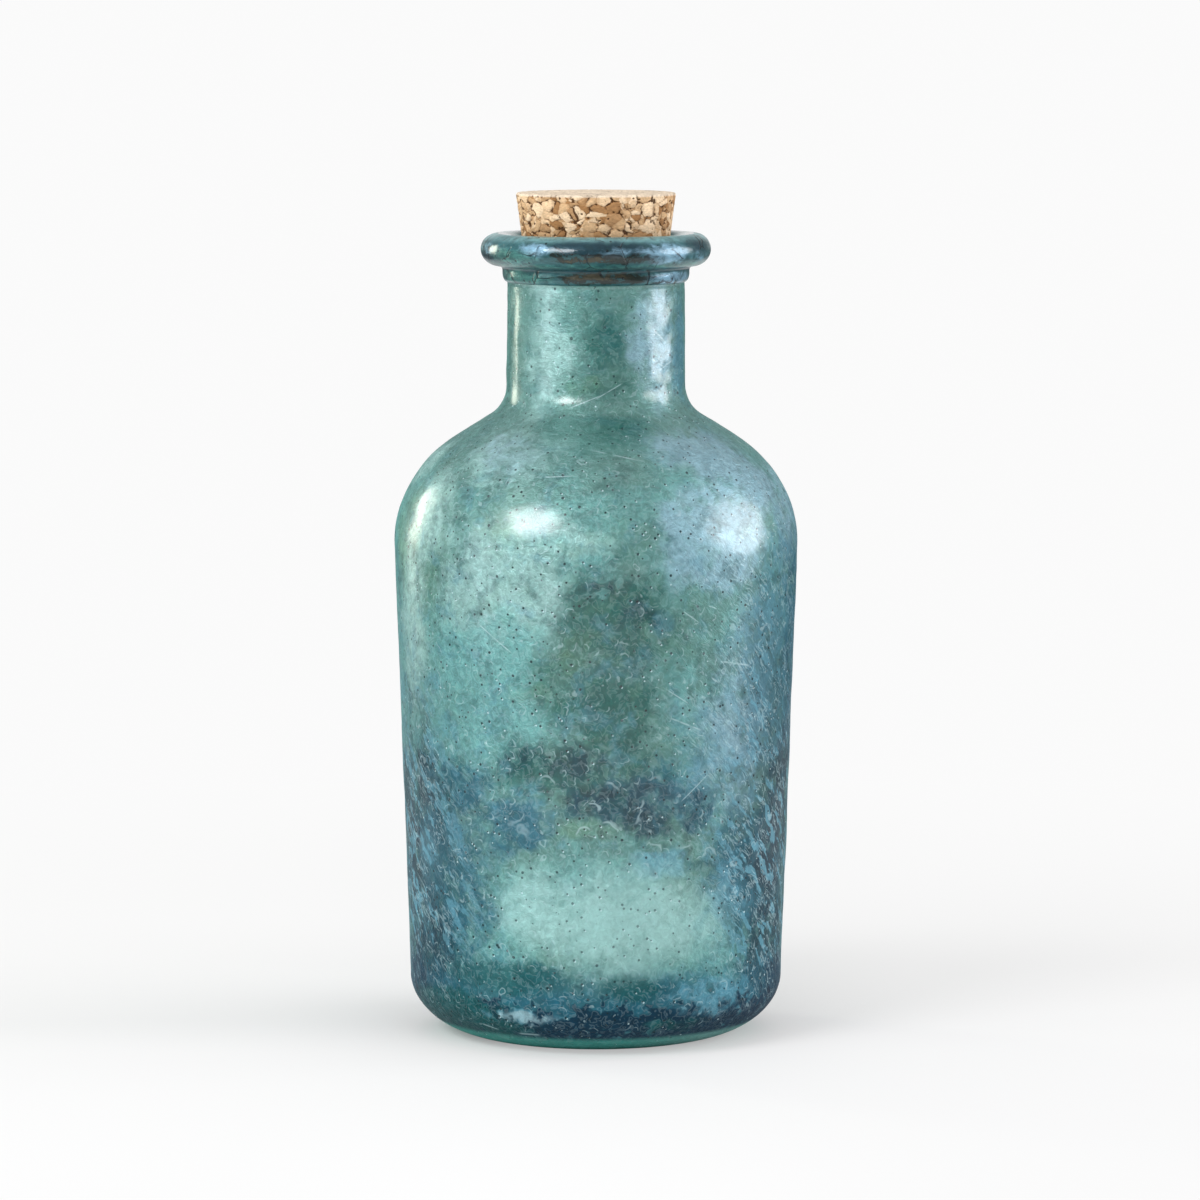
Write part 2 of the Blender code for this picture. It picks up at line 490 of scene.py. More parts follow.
@dataclass
class WeatheredGlass(Finish):
    """Sea-green glass under a pearly, clouded skin, with fine curls and seeds all over, and painted light in
    places.
    """

    seed: float = 1.8 * MM
    chip: float = 4.4 * MM
    hook: float = 2.3 * MM
    clearness: float = 0.06

    SAGE = srgb(100, 148, 141)
    LIGHT_TEAL = srgb(156, 200, 196)
    TURQUOISE = srgb(107, 168, 166)
    DARK_TEAL = srgb(0, 88, 80)
    MOSS = srgb(78, 128, 110)
    OLIVE = srgb(104, 150, 122)
    SKY = srgb(150, 190, 208)
    BLUE = srgb(80, 142, 162)
    STEEL = srgb(32, 96, 116)
    SLATE = srgb(6, 54, 70)
    SHADE = srgb(18, 84, 86)
    MINT = srgb(160, 206, 202)
    FLAKE = srgb(104, 166, 186)
    PALE = srgb(196, 226, 232)
    NAVY = srgb(0, 52, 74)
    DEEP_TEAL = srgb(6, 84, 84)
    EMERALD = srgb(76, 170, 158)
    SEAFOAM = srgb(130, 188, 180)
    SOOT = srgb(12, 38, 44)

    TINTS_AND_PAINTED_LIGHT = (
        # Mostly the skin's own pale colour; the bands at -66° low on the body and -36° on the neck are painted
        # highlights, reflections of the lamps on the left.
        Tint(LIGHT_TEAL, (
            Patch(-27, 103, 20, 18, 0.85), Patch(-34, 130, 14, 9, 0.8, 31), Patch(-58, 118, 9, 14),
            Patch(-84, 128, 9, 8, 0.8, 37), Patch(-66, 94, 10, 26, 0.9), Patch(-4, 115, 11, 5, 0.7, 45),
            Patch(-36, 156, 6, 24, 0.75, 20), Patch(-140, 112, 22, 18, 0.8), Patch(156, 84, 26, 18, 0.7),
        )),
        Tint(TURQUOISE, (
            Patch(-34, 80, 22, 20), Patch(22, 81, 12, 12, 0.8), Patch(-120, 76, 24, 22, 0.8),
            Patch(128, 58, 22, 24, 0.8), Patch(-170, 46, 22, 16, 0.8),
        )),
        Tint(DARK_TEAL, (
            Patch(4, 95, 14, 16, 0.95), Patch(4, 78, 15, 14, 0.85), Patch(9, 104, 13, 6, 0.55),
            Patch(16, 88, 12, 9, 0.4), Patch(-4, 64, 26, 10, 0.7), Patch(-6, 84, 12, 16, 0.55),
            Patch(10, 137, 14, 5, 0.45, 24), Patch(4, 153, 10, 18, 0.55, 20), Patch(-66, 150, 6, 16, 0.5, 20),
            Patch(170, 100, 22, 18, 0.8), Patch(-96, 96, 10, 24, 0.7), Patch(190, 150, 12, 14, 0.6, 20),
        ), 0.9),
        Tint(MOSS, (
            Patch(-54, 102, 7, 14, 0.55), Patch(-12, 84, 8, 12, 0.4), Patch(-152, 70, 12, 20, 0.7),
        ), 0.7),
        # Partly the skin's own blue, partly painted highlight: the patches from 38° to 58° on the right
        # shoulder widen the right lamp's highlight, and those at 28° and 44° on the neck paint its highlight
        # there.
        Tint(SKY, (
            Patch(38, 114, 17, 13), Patch(46, 131, 16, 10, 1.0, 34), Patch(-36, 132, 13, 6, 0.5, 32),
            Patch(52, 92, 10, 16, 0.5), Patch(44, 72, 14, 22, 0.8), Patch(44, 155, 8, 18, 0.8, 20),
            Patch(28, 154, 4, 5, 0.65, 20), Patch(58, 124, 13, 10, 1.0, 40), Patch(76, 116, 14, 16, 0.7),
            Patch(110, 96, 24, 22, 0.7), Patch(-60, 45, 8, 8, 0.8),
        ), 0.75),
        Tint(BLUE, (
            Patch(66, 86, 16, 34, 0.9), Patch(-19, 57, 10, 4, 0.6), Patch(30, 62, 12, 12, 0.6),
            Patch(72, 154, 6, 16, 0.8, 20), Patch(130, 110, 16, 20, 0.7),
        ), 0.75),
        Tint(OLIVE, (
            Patch(-4, 51, 9, 4, 0.7), Patch(-28, 116, 10, 7, 0.5), Patch(-4, 88, 7, 8, 0.45),
            Patch(-4, 147, 7, 4, 0.6, 20), Patch(-72, 112, 6, 14, 0.7), Patch(-160, 96, 12, 10, 0.7),
        ), 0.6),
        Tint(STEEL, (
            Patch(84, 84, 14, 38, 0.8), Patch(-54, 38, 22, 32, 0.8), Patch(-44, 60, 11, 8, 0.8),
            Patch(-26, 52, 14, 8, 0.8), Patch(14, 57, 26, 8, 0.6), Patch(58, 40, 18, 20, 0.95),
            Patch(0, 14, 60, 8, 0.9, 0), Patch(-110, 36, 24, 24, 0.7), Patch(110, 30, 28, 22, 0.8),
        )),
        Tint(SLATE, (
            Patch(-22, 66, 10, 5, 0.55), Patch(-6, 66, 12, 5, 0.65), Patch(4, 58, 12, 6, 0.6),
            Patch(12, 53, 9, 5, 0.9), Patch(26, 56, 12, 8, 0.55), Patch(-78, 48, 9, 22),
            Patch(-58, 59, 9, 8, 0.8), Patch(-64, 19, 16, 12), Patch(72, 54, 12, 18),
            Patch(64, 40, 10, 8, 0.9), Patch(64, 18, 14, 14, 0.95), Patch(0, 10, 60, 6, 0.7, 0),
            Patch(3, 103, 9, 4, 0.6), Patch(14, 97, 8, 4, 0.45), Patch(178, 70, 14, 10, 0.8),
            Patch(-130, 54, 10, 14, 0.8), Patch(140, 24, 16, 12, 0.8),
        ), 0.8, 1.8),
        Tint(FLAKE, (
            Patch(-60, 42, 8, 7, 0.8), Patch(46, 35, 8, 8, 0.7), Patch(20, 44, 8, 4, 0.6),
            Patch(46, 62, 7, 5, 0.6),
        ), 0.7, 1.8),
    )

    FOOT_TINTS_AND_HIGHLIGHT = (
        Tint(SHADE, (Patch(-30, 18, 18, 5, 0.9, 41), Patch(10, 16, 9, 4, 0.8, 41)), 0.75),
        Tint(NAVY, (Patch(-72, 13, 9, 9, 0.9, 41), Patch(74, 13, 9, 9, 0.9, 41)), 0.7),
        Tint(DEEP_TEAL, (
            Patch(-50, 8, 22, 7, 1.0, 38), Patch(26, 7, 10, 2.5, 0.6, 40), Patch(150, 8, 30, 5, 0.9, 38),
        ), 0.85),
        # The strips at -24° on the heel, in FLAKE and PALE, are a painted highlight: a lamp's reflection there.
        Tint(FLAKE, (
            Patch(-24, 9.3, 11, 1.8, 0.8, 40.5), Patch(38, 13, 12, 5, 0.7, 41),
            Patch(-170, 12, 20, 4, 0.8, 41),
        ), 0.55, 2.2),
        Tint(PALE, (Patch(-23, 9.1, 8, 1.2, 0.9, 40.5),), 0.4, 2.0),
    )

    # Painted glow: light through the glass low down, laid on as MINT.
    GLOWING = (Patch(8, 31, 26, 13), Patch(-14, 33, 14, 11, 0.85), Patch(160, 34, 18, 10, 0.8))

    FLAKED = (
        Patch(66, 40, 22, 44), Patch(-68, 42, 22, 44, 0.9), Patch(56, 76, 16, 22, 0.7),
        Patch(-80, 78, 10, 28, 0.4), Patch(120, 50, 24, 40, 0.9), Patch(-140, 44, 24, 40, 0.9),
    )

    CHIPPED = (
        Patch(-2, 57, 22, 13), Patch(26, 46, 16, 14, 0.8), Patch(40, 15, 24, 5, 0.6),
        Patch(-168, 66, 22, 12, 0.9),
    )

    RIGHT_SIDE = Patch(62, 88, 34, 60, 0.75)
    RIGHT_OF_FOOT = Patch(52, 4, 20, 8, 1.0, 36)

    SCRATCHES_AND_HIGHLIGHT_LINES = (
        Scratch(-7, 143, 22, 4.5, 20, 0.2), Scratch(8, 145.3, 30, 4, 20, 0.2),
        # The three wider lines at 43° to 51° high on the neck are painted highlights on the lit edges of its
        # ripples; the rest are scratches.
        Scratch(43, 151.4, -28, 3.2, 20, 0.45), Scratch(51, 150.6, 24, 3, 20, 0.4),
        Scratch(46, 157, -38, 3, 20, 0.4), Scratch(35.4, 99.3, -20, 4), Scratch(44, 86.6, -10, 5, 44, 0.35),
        Scratch(36, 83.4, -28, 5, 44, 0.4), Scratch(24, 80.3, -32, 3.5), Scratch(26.5, 74.2, -22, 5, 44, 0.3),
        Scratch(27.6, 97.7, -34, 3), Scratch(-14, 128, 3, 6, 35),
        Scratch(10, 132, -12, 8, 30), Scratch(-30, 93, -36, 6), Scratch(30, 60, 40, 5),
        Scratch(-23, 5, 0, 3, 37.8, 0.35), Scratch(-37, 6, -14, 2.4, 38.7, 0.3), Scratch(-150, 92, 30, 8),
        Scratch(150, 112, -20, 7),
    )

    def mottle(self, ground: Ground) -> Wire:
        """Blotches with curled edges, which break up the tints.

        Args:
            ground: the point.

        Returns:
            Mostly from 0 to 1.
        """
        blotches = ground.sheet.noise(ground.drifted, 8 * MM, 3.0, 0.6)
        return (blotches + ground.curls - 1) * 1.3 + 0.5

    def strokes(self, ground: Ground) -> Wire:
        """The fine grain of the skin: level on the shoulder, slanting on the right, curls elsewhere.

        Args:
            ground: the point.

        Returns:
            Mostly from 0 to 1, with 0.5 between the strokes.
        """
        sheet = ground.sheet
        curls = sheet.noise(ground.curled, 1.8 * MM, 3.5, 0.74)
        level = sheet.noise(sheet.vector("MULTIPLY", ground.curled, (1.0, 1.0, 3.2)), 2.6 * MM, 3.5, 0.74)
        slanting = sheet.noise(ground.slanted(ground.curled), 1.8 * MM, 3.5, 0.74)
        on_shoulder = ground.height.step(108 * MM, 120 * MM)
        grain = curls + (slanting - curls) * self.RIGHT_SIDE.mask(sheet, ground.place)
        return ((grain + (level - grain) * on_shoulder * 0.7) - 0.5) * (on_shoulder * 0.8 + 2.4) + 0.5

    def seeds(self, ground: Ground) -> tuple[Wire, Wire]:
        """The many tiny bubbles: a dark dot each, with a painted glint beside it.

        Args:
            ground: the point.

        Returns:
            The dots and the painted glints, from 0 to 1.
        """
        sheet = ground.sheet
        cell = sheet.node("ShaderNodeTexVoronoi", {}, {"Vector": ground.place, "Scale": 1 / self.seed})
        small = sheet.parts(Wire(sheet, cell.outputs["Color"]))[0] * 0.1
        dots = (Wire(sheet, cell.outputs["Distance"]) + small).step(0.23, 0.14)
        # Painted glint: a bright spot beside each dot, always to the same side.
        beside = sheet.vector("ADD", ground.place, (-0.24 * MM, 0.0, 0.22 * MM))
        painted_glints = sheet.cells(beside, self.seed).step(0.15, 0.09) * (1 - dots)
        return dots, painted_glints * sheet.noise(ground.place, 5 * MM, 0.0).step(0.48, 0.6)

    def flecks(self, ground: Ground, flaked: Wire) -> tuple[Wire, Wire]:
        """Fine lines in loose groups: faint curls, and on the sides stronger flecks down to the right.

        Args:
            ground: the point.
            flaked: how flaked the skin is there, 0 to 1.

        Returns:
            The pale lines and the dark ones, from 0 to 1.
        """
        sheet = ground.sheet
        slanting = (sheet.noise(ground.slanted(ground.curled), 2.4 * MM, 2.0, 0.6) * ground.LINES).sine()
        curling = (ground.curls * ground.LINES).sine()
        grouped = sheet.noise(ground.curled, 4 * MM, 0.0).step(0.4, 0.6)
        aside = flaked.at_least(self.RIGHT_SIDE.mask(sheet, ground.place))
        pale = curling.step(0.3, 1.0) * (1 - aside) * 0.25 + slanting.step(0.5, 1.0) * grouped * aside
        dark = curling.step(-0.3, -1.0) * (1 - aside) * 0.3 + slanting.step(-0.5, -1.0) * grouped * aside
        return pale, dark

    def shells(self, place: Wire, grain: float) -> tuple[Wire, Wire, Wire]:
        """Round chips, each with a pale crescent, a painted highlight, on one side and painted shade on the
        other.

        Args:
            place: the point.
            grain: about how far apart the chips are, in metres.

        Returns:
            The painted crescents and the painted shade, from 0 to 1, and a number from 0 to 1 that each chip
            has for itself.
        """
        sheet = place.sheet
        cell = sheet.node("ShaderNodeTexVoronoi", {}, {"Vector": place, "Scale": 1 / grain})
        away = Wire(sheet, cell.outputs["Distance"])
        from_middle = sheet.vector("SUBTRACT", place, Wire(sheet, cell.outputs["Position"]))
        outward = sheet.vector("NORMALIZE", from_middle)
        chance = Wire(sheet, cell.outputs["Color"])
        facing = sheet.vector("NORMALIZE", sheet.vector("SUBTRACT", chance, (0.5, 0.5, 0.4)))
        lit = sheet.vector("DOT_PRODUCT", outward, facing, output="Value")
        crescent = away.step(0.34, 0.42) * away.step(0.52, 0.44) * lit.step(0.2, 0.7)
        shade = away.step(0.5, 0.36) * lit.step(0.4, -0.5)
        return crescent, shade, sheet.parts(chance)[0]

    def chips(self, ground: Ground) -> tuple[Wire, Wire]:
        """Large chips in some places, and small hooked marks all over, each drawn with painted highlight and
        painted shade.

        Args:
            ground: the point.

        Returns:
            The painted crescents and the painted shade, from 0 to 1.
        """
        sheet = ground.sheet
        # The chips' crescents are painted highlights on their rims and their dark sides painted shade; the
        # hooks are partly the skin's own curled marks, partly painted highlight and shade.
        crescents, shade, chance = self.shells(ground.swept, self.chip)
        chipped = chance.step(0.25, 0.35) * all_patches(sheet, ground.place, self.CHIPPED)
        hooks, hook_shade, chance = self.shells(ground.curled, self.hook)
        hooked = chance.step(0.45, 0.6)
        crescents = (crescents * chipped).at_least(hooks * hooked * 0.7)
        return crescents, (shade * chipped).at_least(hook_shade * hooked * 0.4)

    def hues(self, ground: Ground, flaked: Wire, colour: Wire) -> Wire:
        """Small clouds of olive, blue and shade, as the skin's thickness changes, and blue flakes low down.

        Args:
            ground: the point.
            flaked: how flaked the skin is there, 0 to 1.
            colour: the colour so far.

        Returns:
            The colour with the clouds.
        """
        sheet = ground.sheet
        olive, blue, shade = sheet.parts(sheet.noise(ground.swept, 6 * MM, 3.0, 0.6, output=1))
        below_neck = ground.height.step(140 * MM, 112 * MM) * 0.65 + 0.35
        colour = sheet.blend(olive.step(0.5, 0.66) * (1 - flaked) * below_neck * 0.2, colour, self.OLIVE)
        colour = sheet.blend((blue + flaked * 0.03).step(0.52, 0.68) * below_neck * 0.38, colour, self.BLUE)
        colour = sheet.blend((shade + flaked * 0.03).step(0.52, 0.68) * below_neck * 0.45, colour, self.SHADE)
        colour = sheet.blend(flaked * 0.5, colour, self.SLATE)
        flakes = sheet.noise(ground.slanted(ground.swept), 3.2 * MM, 3.0, 0.6)
        return sheet.blend(flakes.step(0.53, 0.58) * flaked * 0.8, colour, self.FLAKE)

    def foot(self, ground: Ground, mottle: Wire, colour: Wire) -> Wire:
        """The thick glass round the foot: deep blue, broken by lighter patches and a painted highlight, over an
        emerald edge.

        Args:
            ground: the point.
            mottle: the skin's blotches.
            colour: the colour so far.

        Returns:
            The colour with the foot.
        """
        sheet = ground.sheet
        low = ground.height.step(24 * MM, 11 * MM)
        band = ground.height.step(16 * MM, 7.5 * MM)
        colour = sheet.blend(low * 0.75, colour, self.STEEL)
        colour = sheet.blend((band + (0.5 - mottle) * 1.6).step(0.4, 0.8) * low, colour, self.NAVY)
        for tint in self.FOOT_TINTS_AND_HIGHLIGHT:
            colour = tint.lay(sheet, ground.swept, mottle, colour)
        # The emerald edge is the green of the clear foot glass, brightened as painted light shining through it.
        paler = self.RIGHT_OF_FOOT.mask(sheet, ground.place).at_least(mottle.step(0.6, 0.9) * 0.6)
        edge = sheet.blend(paler, self.EMERALD, self.SEAFOAM)
        return sheet.blend(ground.height.step(4.8 * MM, 3.2 * MM) * 0.85, colour, edge)

    def surface(self, sheet: NodeSheet) -> Wire:
        """Pearly skin over clear glass.

        Args:
            sheet: the material's node sheet.

        Returns:
            The shader's output.
        """
        ground = Ground.of(sheet)
        mottle = self.mottle(ground)
        strokes = self.strokes(ground)
        glow = all_patches(sheet, ground.drifted, self.GLOWING)
        flaked = all_patches(sheet, ground.drifted, self.FLAKED)
        on_neck = ground.height.step(124 * MM, 136 * MM)
        calm = 1 - glow.at_least(on_neck * 0.5).at_least(ground.height.step(8 * MM, 4 * MM)) * 0.5

        cloud = sheet.noise(ground.place, 24 * MM, 3.0, 0.6)
        colour = sheet.blend(cloud.step(0.4, 0.62) * (1 - on_neck * 0.8), self.SAGE, self.TURQUOISE)
        for tint in self.TINTS_AND_PAINTED_LIGHT:
            colour = tint.lay(sheet, ground.drifted, mottle, colour)
        colour = self.hues(ground, flaked, colour)
        # Painted glow, in mint.
        colour = sheet.blend((glow * (mottle * 0.8 + 0.6)).step(0.05, 0.95) * 0.85, colour, self.MINT)
        colour = self.foot(ground, mottle, colour)
        colour = sheet.vector("SCALE", colour, (mottle - 0.5) * calm * 0.22 + 1)
        colour = sheet.vector("SCALE", colour, (strokes - 0.5) * calm * 0.5 + 1)

        pale_flecks, dark_flecks = self.flecks(ground, flaked)
        crescents, shade = self.chips(ground)
        dots, painted_glints = self.seeds(ground)
        scratch_and_highlight_lines = self.SCRATCHES_AND_HIGHLIGHT_LINES[0].mask(sheet, ground.place)
        for scratch in self.SCRATCHES_AND_HIGHLIGHT_LINES[1:]:
            scratch_and_highlight_lines = scratch_and_highlight_lines.at_least(scratch.mask(sheet, ground.place))
        scratch_and_highlight_lines = scratch_and_highlight_lines * mottle.step(0.2, 0.5)
        # dark and pale hold the real flecks, seed dots and scratches, and painted light: the chips' painted
        # shade and highlights, the seeds' painted glints and the painted highlight lines on the neck.
        dark = (dark_flecks * 0.4).at_least(shade * 0.5) * calm
        dark = dark.at_least(dots * (calm * 0.6 + 0.3))
        pale = ((pale_flecks * 0.4).at_least(crescents * 0.5) * calm).at_least(scratch_and_highlight_lines * 0.55)
        colour = sheet.blend(dark, colour, self.SOOT)
        colour = sheet.blend(pale.at_least(painted_glints * 0.85), colour, self.PALE)

        relief = strokes + (ground.curls * ground.LINES).sine() * 0.04 - dots * 0.6
        bump = sheet.bump(relief, 0.85, 0.2 * MM)
        grazing = sheet.add("ShaderNodeLayerWeight", {}, {"Blend": 0.5}, "Facing")
        coat = (1 - grazing.step(0.5, 0.9)) * (ground.height.step(15 * MM, 85 * MM) * 0.85 + 0.15)
        skin = sheet.add("ShaderNodeBsdfPrincipled", {}, {
            "Base Color": colour, "Roughness": 0.44, "Metallic": 0.4, "Specular IOR Level": 0.08,
            "Specular Tint": (0.16, 0.26, 0.34), "Coat Weight": coat, "Coat Roughness": 0.24, "Coat IOR": 1.7,
            "Normal": bump,
        })
        return sheet.mixed(self.clearness, skin, sheet.clear_glass(colour, 0.1, bump))


@dataclass
class LipGlass(Finish):
    """The fire-polished collar and lip: clearer glass with fine cracks, painted highlights, a painted shadow
    and a painted view of the cork.
    """

    top: float = 0.0
    clearness: float = 0.25

    TEAL = srgb(62, 116, 122)
    CREST = srgb(122, 174, 178)
    SKY = srgb(150, 194, 220)
    NIGHT = srgb(18, 48, 66)
    GREEN = srgb(84, 142, 134)
    CORK_SEEN_THROUGH = srgb(26, 26, 14)
    AMBER = srgb(96, 86, 62)
    CRACK = srgb(6, 24, 32)

    def tints(self) -> tuple[Tint, ...]:
        """The lip's colours and painted light from its crest down to the collar, placed from its top.

        Returns:
            The tints, in the order in which they are laid.
        """
        top = self.top / MM
        bead = 25
        collar = 20.8
        return (
            Tint(self.NIGHT, (
                Patch(2, top - 2.6, 17, 1.9, 1.0, bead), Patch(64, top - 2.4, 9, 2.6, 0.6, bead),
                Patch(-70, top - 5, 10, 2, 0.8, bead), Patch(170, top - 3.4, 18, 2.4, 0.9, bead),
                # A painted shadow: a dark ring under the bead.
                Patch(0, top - 7.6, 30, 0.7, 0.9, 0),
            ), 0.8),
            # Painted highlights: the lamps' reflections on the bead and the collar.
            Tint(self.SKY, (
                Patch(-32, top - 2.9, 5, 1.7, 0.9, bead), Patch(36, top - 3.6, 8, 2.4, 1.0, bead),
                Patch(10, top - 3.4, 4, 1.6, 0.6, bead), Patch(-70, top - 3, 4, 2, 0.5, bead),
                Patch(64, top - 4.6, 6, 1.6, 0.4, bead), Patch(56, top - 9.4, 10, 1.5, 0.9, collar),
                Patch(120, top - 3.2, 12, 2.2, 0.7, bead),
            ), 0.75),
            Tint(self.GREEN, (
                Patch(0, top - 6.4, 30, 0.9, 1.0, 0), Patch(-54, top - 9.2, 12, 1.8, 0.9, collar),
                Patch(-48, top - 4.4, 9, 2, 0.8, bead),
            ), 0.75),
            # Painted view of the cork through the clear lip, at the front and the back, with AMBER spots in it.
            Tint(self.CORK_SEEN_THROUGH, (
                Patch(-10, top - 4.6, 8, 1.4, 0.9, bead), Patch(12, top - 4.7, 11, 1.4, 1.0, bead),
                Patch(6, top - 9.2, 13, 1.6, 1.0, collar), Patch(-176, top - 5, 12, 1.4, 0.8, bead),
            ), 0.9, 2.2),
            Tint(self.AMBER, (
                Patch(-4, top - 5, 6, 0.8, 0.8, bead), Patch(2, top - 8.9, 8, 0.9, 0.8, collar),
            ), 0.45, 2.6),
        )

    def surface(self, sheet: NodeSheet) -> Wire:
        """Streaked glass under a bright gloss.

        Args:
            sheet: the material's node sheet.

        Returns:
            The shader's output.
        """
        place = sheet.place()
        height = sheet.parts(place)[2]
        stirred = sheet.stirred(place, 3.5 * MM, 0.9 * MM, 2.0)
        streaks = sheet.noise(sheet.vector("MULTIPLY", stirred, (1.0, 1.0, 1.8)), 2.4 * MM, 4.0, 0.72)
        mottle = (streaks - 0.5) * 2.4 + 0.5
        # Lighter along the crest: partly painted reflection on the top of the bead.
        colour = sheet.blend(height.step(self.top - 1.8 * MM, self.top - 0.6 * MM), self.TEAL, self.CREST)
        for tint in self.tints():
            colour = tint.lay(sheet, stirred, mottle, colour)
        colour = sheet.vector("SCALE", colour, (mottle - 0.5) * 0.95 + 1)
        from_edge = sheet.cells(sheet.stirred(place, 5 * MM, 2.4 * MM), 8 * MM, "DISTANCE_TO_EDGE")
        cracks = from_edge.step(0.028, 0.01) * sheet.noise(place, 5 * MM, 1.0).step(0.46, 0.56)
        colour = sheet.blend(cracks * 0.75, colour, self.CRACK)
        dots = sheet.cells(place, 2.4 * MM).step(0.14, 0.09)
        colour = sheet.blend(dots * 0.8, colour, self.CRACK)
        relief = streaks - cracks * 0.6 - dots * 0.6
        bump = sheet.bump(relief, 0.7, 0.3 * MM)
        grazing = sheet.add("ShaderNodeLayerWeight", {}, {"Blend": 0.5}, "Facing")
        coat = grazing.step(1.0, 0.55) * 0.65
        skin = sheet.add("ShaderNodeBsdfPrincipled", {}, {
            "Base Color": colour, "Roughness": 0.35, "Metallic": 0.3, "Coat Weight": coat,
            "Coat Roughness": 0.14, "Coat IOR": 1.6, "Specular IOR Level": 0.2, "Normal": bump,
        })
        return sheet.mixed(self.clearness, skin, sheet.clear_glass(colour, 0.08, bump))


@dataclass
class InnerGlass(Finish):
    """The clean inner wall of the glass."""

    def surface(self, sheet: NodeSheet) -> Wire:
        """Clear tinted glass.

        Args:
            sheet: the material's node sheet.

        Returns:
            The shader's output.
        """
        ripple = sheet.noise(sheet.place(), 9 * MM, 2.0)
        tint = sheet.blend(ripple, srgb(170, 214, 206), srgb(140, 196, 196))
        return sheet.clear_glass(tint, 0.08, sheet.bump(ripple, 0.6, 0.3 * MM))


@dataclass(frozen=True)
class Granules:
    """Pressed cork granules, a pattern that the cork's colour and its shape share."""

    coarse: float = 3.0 * MM
    fine: float = 1.8 * MM
    flatness: float = 1.4

    def read(self, sheet: NodeSheet, place: Wire) -> tuple[Wire, Wire, Wire]:
        """Reads the pattern at a point.

        Args:
            sheet: the node sheet.
            place: the point.

        Returns:
            The granule's own tone, the distance to its edge in cells, and the open pits and gaps.
        """
        lumpy = sheet.stirred(place, 2.0 * MM, 0.55 * MM, 2.0)
        flat = sheet.vector("MULTIPLY", lumpy, (1.0, 1.0, self.flatness))
        small = sheet.noise(place, 5.5 * MM, 0.0).step(0.49, 0.51)
        coarse_tone = sheet.parts(sheet.cells(flat, self.coarse, output="Color"))[0]
        fine_tone = sheet.parts(sheet.cells(flat, self.fine, output="Color"))[0]
        tone = coarse_tone + (fine_tone - coarse_tone) * small
        coarse_edge = sheet.cells(flat, self.coarse, "DISTANCE_TO_EDGE")
        fine_edge = sheet.cells(flat, self.fine, "DISTANCE_TO_EDGE") * 0.6
        edge = coarse_edge + (fine_edge - coarse_edge) * small
        broken = sheet.noise(place, 2.2 * MM, 2.0)
        gaps = edge.step(0.05, 0.01) * broken.step(0.42, 0.56) * 0.75
        corners = sheet.cells(flat, self.coarse).step(0.78, 0.84)
        pits = corners.at_least(broken.step(0.57, 0.62)) * edge.step(0.10, 0.06)
        pores = sheet.cells(lumpy, 1.6 * MM).step(0.19, 0.14)
        return tone, edge, gaps.at_least(pits).at_least(pores)


@dataclass
class GranularCork(Finish):
    """Agglomerated cork: pressed granules of many tans, with dark gaps and pits between them."""

    top: float = 0.0

    LIGHT = srgb(238, 210, 174)
    TAN = srgb(208, 172, 130)
    BROWN = srgb(158, 116, 74)
    GAP = srgb(74, 44, 20)
    PALE_TOP_FACE = srgb(226, 212, 192)

    def surface(self, sheet: NodeSheet) -> Wire:
        """Matte granules.

        Args:
            sheet: the material's node sheet.

        Returns:
            The shader's output.
        """
        place = sheet.place()
        height = sheet.parts(place)[2]
        tone, edge, dark = Granules().read(sheet, place)
        fibres = sheet.noise(sheet.vector("MULTIPLY", place, (1.0, 1.0, 2.0)), 0.7 * MM, 3.0, 0.65)
        clouds = sheet.noise(place, 1.8 * MM, 2.0)
        colour = sheet.blend(tone.step(0.1, 0.5), self.BROWN, self.TAN)
        colour = sheet.blend(tone.step(0.5, 0.85), colour, self.LIGHT)
        # Darker brown near some granules' edges: partly painted shade beside the gaps.
        colour = sheet.blend(edge.step(0.16, 0.02) * clouds.step(0.4, 0.6) * 0.45, colour, self.BROWN)
        # Paler on the top face.
        on_top = height.step(self.top - 0.7 * MM, self.top - 0.3 * MM)
        colour = sheet.blend(on_top * 0.75, colour, self.PALE_TOP_FACE)
        colour = sheet.vector("SCALE", colour, (fibres - 0.5) * 1.1 + (clouds - 0.5) * 0.5 + 1)
        colour = sheet.blend(dark * (0.92 - on_top * 0.5), colour, self.GAP)
        bump = sheet.bump(fibres - dark, 0.9, 0.12 * MM)
        sockets = {"Base Color": colour, "Roughness": 0.85, "Specular IOR Level": 0.25, "Normal": bump}
        return sheet.add("ShaderNodeBsdfPrincipled", {}, sockets)


